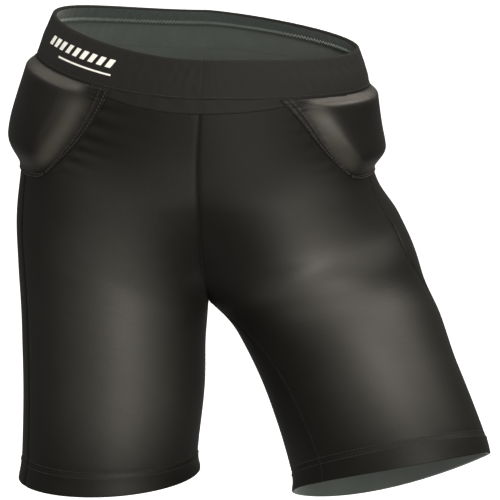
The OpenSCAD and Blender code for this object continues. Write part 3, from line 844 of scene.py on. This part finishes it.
def band_surface(share, v, above):
    """Points above the band's outer face (above > 0), with outward directions."""
    points = lifted_loop(share, v, band_lift(share, v) + above)
    return points, outward_loop(share, v)


def zigzag_stitch():
    """Zigzag row that holds the casing's edge down, seen on the inside of the waist."""
    corners = 500
    share = (np.arange(corners + 1) % corners) / corners
    v = np.where(np.arange(corners + 1) % 2 == 0, CASING_END - 0.12, CASING_END - 0.04)
    points = lifted_loop(share, v, band_lift(share, v) - BAND_T - 0.25 * MM)
    rings = tube_points(points, outward_loop(share, v), 0.34 * MM, 0.3 * MM, 5)[:-1]
    piece = tubes("waist_zigzag_stitch", [(rings, True)], GREY_THREAD)
    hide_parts("waistband_zigzag")
    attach(piece, SEAT)


def waist_seam():
    """Stitching that joins band and panels."""
    share = np.linspace(0, 1, 420)
    path, up = band_surface(share, np.full(420, 0.965), 0.12 * MM)
    piece = tubes("waist_seam_stitches", stitch_runs(path, up, 3.0 * MM, 0.74, 0.26 * MM), BLACK_THREAD)
    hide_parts("waist_seam_thread")
    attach(piece, SEAT)


def band_print():
    """Plain slanted bars and a thin line in place of a mark."""
    points, faces, uv, first = [], [], [], 0

    def patch(u0, u1, v0, v1, slant, columns, rows=6):
        nonlocal first
        a, b = np.meshgrid(np.linspace(0, 1, columns), np.linspace(0, 1, rows))
        share = (u0 + a * (u1 - u0) + b * slant) / 2
        v = v0 + b * (v1 - v0)
        for lift in (0.08 * MM, 0.3 * MM):
            p = lifted_loop(share, v, band_lift(share, v) + lift)
            points.append(p.reshape(-1, 3))
            uv.append(np.stack([share * 2 * U_SPAN, v * BAND_DEPTH], -1).reshape(-1, 2))
        for part in box_faces(rows, columns, first):
            faces.extend(part)
        first += 2 * rows * columns

    start, pitch, width = 0.2, 0.023, 0.013
    for i in range(9):
        left = start + pitch * i
        patch(left, left + width, 0.34, 0.56, 0.007, 6)
    patch(start, 0.35, 0.70, 0.74, 0, 40, 3)
    piece = make_mesh("waistband_print_bars", np.concatenate(points), faces, [PRINT], np.concatenate(uv))
    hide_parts("waistband_bars")
    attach(piece, SEAT)


def yoke():
    """Crescent of band cloth at the centre of the front."""
    a, b = np.meshgrid(np.linspace(-0.985, 0.985, 130), edged(0, 1, 10, 0.035))
    u = np.abs(a) * YOKE_END
    v = 1 + b * (top_edge(u) - 1)
    share = np.where(a < 0, u / 2, 1 - u / 2)
    full = rolled(np.minimum(b, 1 - b) * 13 * MM)
    shape = 0.25 * MM * wobble(a * 14, b * 2, 3.0)
    outer = lifted_loop(share, v, (-0.5 + 0.5 * full) * MM + shape)
    inner = lifted_loop(share, v, (-0.7 - 0.5 * full) * MM + shape)
    uv = np.stack([a * YOKE_END * U_SPAN, v * BAND_DEPTH], -1)
    piece = shell("front_yoke_cloth", outer, inner, [BAND, LINING], uv)
    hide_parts("front_yoke")
    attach(piece, SEAT)


# ---- Pads. a runs across the pad from -1 to 1, b down it from 0 to 1.

FLANGE, FACE_A, FACE_TOP, FACE_BOTTOM, FLANGE_BOTTOM = 0.91, 0.6, 0.11, 0.66, 0.97
COVER_BASE, COVER_T, GROOVE = 0.2 * MM, 0.85 * MM, 0.45 * MM
CLOTH_FRAMES = 20


def hip_place(side):
    def place(a, b):
        v = PAD_TOP + b * (1 - 0.1 * a**4) * (PAD_BOTTOM[side] - PAD_TOP)
        u = PAD_MID + a * (PAD_HALF[side] - PAD_TAPER[side] * b ** PAD_CURVE[side])
        share = u / 2 if side == RIGHT else 1 - u / 2
        return share, v

    return place


def tail_place(a, b):
    v = TAIL_SPAN[0] + b * (1 - 0.12 * a**2) * (TAIL_SPAN[1] - TAIL_SPAN[0])
    return 0.5 + a * TAIL_HALF * (1 - 0.45 * b**2) / 2, v


def pad_rise(h, a, b):
    """Height of the pad's outer face: bevels at its edges, and a face that swells towards the bottom."""
    fall = (1 - ramp(np.abs(a), FACE_A, FLANGE) ** 1.3) * (1 - ramp(b, FACE_BOTTOM, FLANGE_BOTTOM) ** 1.4)
    return h * fall * (PAD_LEDGE * ramp(b, 0, FACE_TOP) + (1 - PAD_LEDGE) * ramp(b, 0, FACE_BOTTOM))


def pad_grid():
    """Stations across and down a pad, closest together on its sewn flange and its bevels."""
    near = np.array([0.0, 0.01, 0.02, 0.027, 0.035, 0.05, 0.063, 0.072, 0.08, 0.09, 0.105])
    a_side = np.concatenate([1 - near, np.linspace(0.88, 0.60, 24), np.linspace(0.57, 0.0, 18)])
    a = np.concatenate([-a_side, a_side[::-1][1:]])
    down = [np.linspace(0, 0.16, 15), np.linspace(0.18, 0.74, 22), np.linspace(0.75, 0.93, 18)]
    b = np.concatenate([*down, [0.94, 0.95, 0.958, 0.965, 0.975, 0.985, 0.991, 1.0]])
    return np.meshgrid(a, b)


def pad_shine_and_painted_highlight(a, b):
    """Painted highlight on the foam's edges, ledge and foot, 0 to 1, where the cover is taut: lighter
    colour and a shinier knit there.
    """
    bevel = bell(np.abs(a) - 0.79, 0.095) * ramp(b, 0.04, 0.25) * (1 - ramp(b, 0.75, 0.95))
    ledge = bell(b - 0.05, 0.05) * (1 - ramp(np.abs(a), 0.72, 0.85))
    foot = 0.2 * bell(b - 0.84, 0.08) * (1 - ramp(np.abs(a), 0.6, 0.85))
    return np.clip(bevel + ledge + foot, 0, 1)


def row_grooves(a, b):
    """How far the two rows of stitching draw the flange in."""
    sink = np.zeros(np.shape(a))
    for row in (0.5, 1.5):
        sink = np.maximum(sink, bell(np.abs(a) - (1 - row * ROW_GAP), 0.011))
    for foot in (0.988, 0.958):
        sink = np.maximum(sink, bell(b - foot, 0.009))
    return sink


def crowned(grid, freedom, limit):
    """The grid after a short cloth simulation with air behind it, moved by at most limit metres."""
    rows, columns = grid.shape[:2]
    n = rows * columns
    centre = grid.reshape(-1, 3).mean(0)
    back = grid.reshape(-1, 3) * 0.9 + centre * 0.1
    back = back - unit(np.array([centre[0], centre[1], 0])) * 14 * MM
    over, under, rim = box_faces(rows, columns)
    points = np.concatenate([grid.reshape(-1, 3), back])
    form = make_mesh("cloth_form", points, over + under + rim, [])
    pins = form.vertex_groups.new(name="held")
    held = np.concatenate([1 - np.ravel(freedom), np.ones(n)])
    for i, weight in enumerate(held):
        pins.add([i], float(weight), "REPLACE")
    cloth = form.modifiers.new("cloth", "CLOTH")
    s = cloth.settings
    s.quality, s.mass, s.air_damping, s.time_scale = 5, 0.2, 2.0, 1.0
    s.tension_stiffness = s.compression_stiffness = 30
    s.shear_stiffness, s.bending_stiffness = 12, 3.0
    s.use_pressure, s.uniform_pressure_force = True, 4.0
    s.vertex_group_mass = "held"
    s.effector_weights.gravity = 0
    cloth.collision_settings.use_self_collision = False
    cloth.point_cache.frame_start, cloth.point_cache.frame_end = 1, CLOTH_FRAMES
    scene = bpy.context.scene
    for f in range(1, CLOTH_FRAMES + 1):
        scene.frame_set(f)
    done = form.evaluated_get(bpy.context.evaluated_depsgraph_get())
    co = np.empty(len(done.data.vertices) * 3)
    done.data.vertices.foreach_get("co", co)
    scene.frame_set(1)
    moved = co.reshape(-1, 3)[:n].reshape(grid.shape) - grid
    bpy.data.objects.remove(form, do_unlink=True)
    size = np.linalg.norm(moved, axis=-1, keepdims=True)
    moved = np.where(np.isfinite(size), moved, 0)
    size = np.where(np.isfinite(size), size, 0)
    moved = moved * np.minimum(1, limit / np.maximum(size, 1e-9))
    return grid + moved


def pad_cover(name, place, h, node):
    """The cloth over the foam, with its sewn flange."""
    a, b = pad_grid()
    share, v = place(a, b)
    rise = pad_rise(h, a, b)
    edge_in = np.minimum((1 - np.abs(a)) * 95 * MM, np.minimum(b, 1 - b) * 90 * MM)
    edge = rolled(edge_in, 2.6 * MM)
    edge = np.where(b < 0.02, np.maximum(edge, 0.6), edge)
    flange = 1 - ramp(rise, 0.0, 1.5 * MM)
    gather = np.sin(v * V_SPAN / (3.4 * MM) * math.tau + 2.5 * wobble(share * 60, v * 5, 2.0))
    puff = flange * MM * (0.22 * wobble(share * 160, v * 22, 5.0) + 0.14 * gather)
    lift = COVER_BASE + COVER_T * (0.3 + 0.7 * edge) + rise - GROOVE * row_grooves(a, b) + puff
    outer = crowned(lifted_loop(share, v, lift), (rise / h) ** 2, 0.9 * MM)
    inner = outer - outward_loop(share, v) * (0.25 + 0.55 * edge)[..., None] * MM
    uv = np.stack([share * 2 * U_SPAN, v * V_SPAN], -1)
    # The cover carries a painted highlight mask on the foam's edges, which also makes it shinier there
    cover = shell(f"{name}_cover", outer, inner, [PAD], uv, {"shine_and_painted_highlight": pad_shine_and_painted_highlight(a, b)})
    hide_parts(node)
    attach(cover, SEAT)


def pad_foam(name, place, h, node):
    """The moulded foam block under the cover."""
    a, b = np.meshgrid(np.linspace(-0.86, 0.86, 70), np.linspace(0.035, 0.90, 48))
    share, v = place(a, b)
    rise = pad_rise(h, a, b)
    top = lifted_loop(share, v, 0.1 * MM + 0.93 * rise)
    bottom = lifted_loop(share, v, 0.02 * MM + 0.08 * rise)
    uv = np.stack([share * 2 * U_SPAN, v * V_SPAN], -1)
    foam = shell(f"{name}_foam", top, bottom, [FOAM], uv)
    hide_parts(node)
    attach(foam, SEAT)


def pad_stitches(name, place, h, node):
    """Two rows of stitches down both sides of the flange and along its foot."""
    runs = []
    for row in (0, 1):
        e = 1 - (row + 0.5) * ROW_GAP
        foot = 0.988 - row * 0.03
        sides_b = np.linspace(0.03, foot, 90)
        line_a = np.concatenate([np.full(90, -e), np.linspace(-e, e, 90)[1:-1], np.full(90, e)])
        line_b = np.concatenate([sides_b, np.full(88, foot), sides_b[::-1]])
        share, v = place(line_a, line_b)
        up = outward_loop(share, v)
        height = COVER_BASE + COVER_T - GROOVE + 0.25 * MM + pad_rise(h, line_a, line_b)
        path = lifted_loop(share, v, height)
        for part in (slice(0, 90), slice(90, 178), slice(178, None)):
            runs += stitch_runs(path[part], up[part], 2.9 * MM, 0.66, 0.36 * MM)
    stitches = tubes(f"{name}_stitches", runs, PAD_THREAD)
    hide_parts(node)
    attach(stitches, SEAT)


def pad(name, place, h, node):
    """One moulded pad. node is the name of its CAD nodes, with {} where the layer's name goes."""
    pad_cover(name, place, h, node.format("cover"))
    pad_foam(name, place, h, node.format("foam"))
    pad_stitches(name, place, h, node.format("stitching"))


for each in (RIGHT, LEFT):
    panel_cloth("front", each)
    panel_cloth("back", each)
    hem_turning(each)
    hem_stitches(each)
    pad(f"hip_pad_{NAMES[each]}", hip_place(each), PAD_H, "hip_{}_" + NAMES[each])
pad("tailbone_pad", tail_place, TAIL_H, "tailbone_{}")
seams()
yoke()
waistband()
waist_elastic()
zigzag_stitch()
waist_seam()
band_print()

# ---- Studio: white card behind, pale floor, soft lamps; the camera looks down 8 degrees


def flat_material(name, colour, glow):
    n = Nodes(name)
    n.shader.inputs["Base Color"].default_value = (*colour, 1)
    n.shader.inputs["Roughness"].default_value = 0.9
    n.shader.inputs["Emission Color"].default_value = (1, 1, 1, 1)
    n.shader.inputs["Emission Strength"].default_value = glow
    return n.material


def card(name, corners, material):
    mesh = bpy.data.meshes.new(name)
    mesh.from_pydata(corners, [], [(0, 1, 2, 3)])
    mesh.materials.append(material)
    made = bpy.data.objects.new(name, mesh)
    bpy.context.scene.collection.objects.link(made)


def lamp(name, place, aim, size, power, colour=(1, 1, 1)):
    data = bpy.data.lights.new(name, "AREA")
    data.shape, data.size, data.size_y = "RECTANGLE", size[0], size[1]
    data.energy, data.color = power, colour
    made = bpy.data.objects.new(name, data)
    made.location = place
    made.rotation_euler = (Vector(aim) - Vector(place)).to_track_quat("-Z", "Y").to_euler()
    bpy.context.scene.collection.objects.link(made)


FLOOR_Z, FLOOR_HALF = -2.0, 8
CARD_Y, CARD_X, CARD_Z = 6.5, (-1.4, 1.5), (FLOOR_Z + 0.01, 0.6)
square = ((-1, -1), (1, -1), (1, 1), (-1, 1))
floor_corners = [(x * FLOOR_HALF, y * FLOOR_HALF, FLOOR_Z) for x, y in square]
card_corners = [(CARD_X[x > 0], CARD_Y, CARD_Z[z > 0]) for x, z in square]
card("floor", floor_corners, flat_material("pale_floor", (0.8, 0.8, 0.8), 0.05))
card("white_card", card_corners, flat_material("white_card", (1, 1, 1), 1.0))

world = bpy.data.worlds.new("studio")
world.use_nodes = True
world.node_tree.nodes["Background"].inputs["Color"].default_value = (1, 1, 1, 1)
world.node_tree.nodes["Background"].inputs["Strength"].default_value = 0.17
bpy.context.scene.world = world

WARM = (1.0, 0.95, 0.86)
lamp("key_strip", (0.62, -1.9, 0.12), (0.04, 0, -0.22), (0.5, 1.4), 46, WARM)
lamp("overhead", (0.0, -0.3, 1.4), (0.03, 0, -0.1), (1.0, 0.8), 12, WARM)
lamp("upper_right", (1.3, -0.45, 1.15), (0.15, 0, -0.08), (0.6, 0.6), 10, WARM)
lamp("upper_left", (-1.3, -0.45, 1.15), (-0.12, 0, -0.08), (0.6, 0.6), 8, WARM)
lamp("side_right", (1.6, -0.6, 0.3), (0.1, 0, -0.08), (0.4, 0.4), 1.0)
lamp("side_left", (-1.5, -0.9, 0.45), (-0.1, 0, -0.08), (0.4, 0.4), 3.5, WARM)
lamp("rim_right", (1.1, 0.42, 1.12), (0.12, 0, -0.08), (0.4, 0.4), 13, WARM)
lamp("rim_left", (-1.1, 0.42, 1.12), (-0.12, 0, -0.08), (0.4, 0.4), 4, WARM)

camera_data = bpy.data.cameras.new("camera")
camera_data.lens, camera_data.sensor_width = 198, 36
camera = bpy.data.objects.new("camera", camera_data)
camera.location = (0.0344, -2.1786, 0.1262)
camera.rotation_euler = (math.radians(82), 0, 0)
bpy.context.scene.collection.objects.link(camera)
bpy.context.scene.camera = camera
bpy.context.scene.view_settings.view_transform = "Standard"
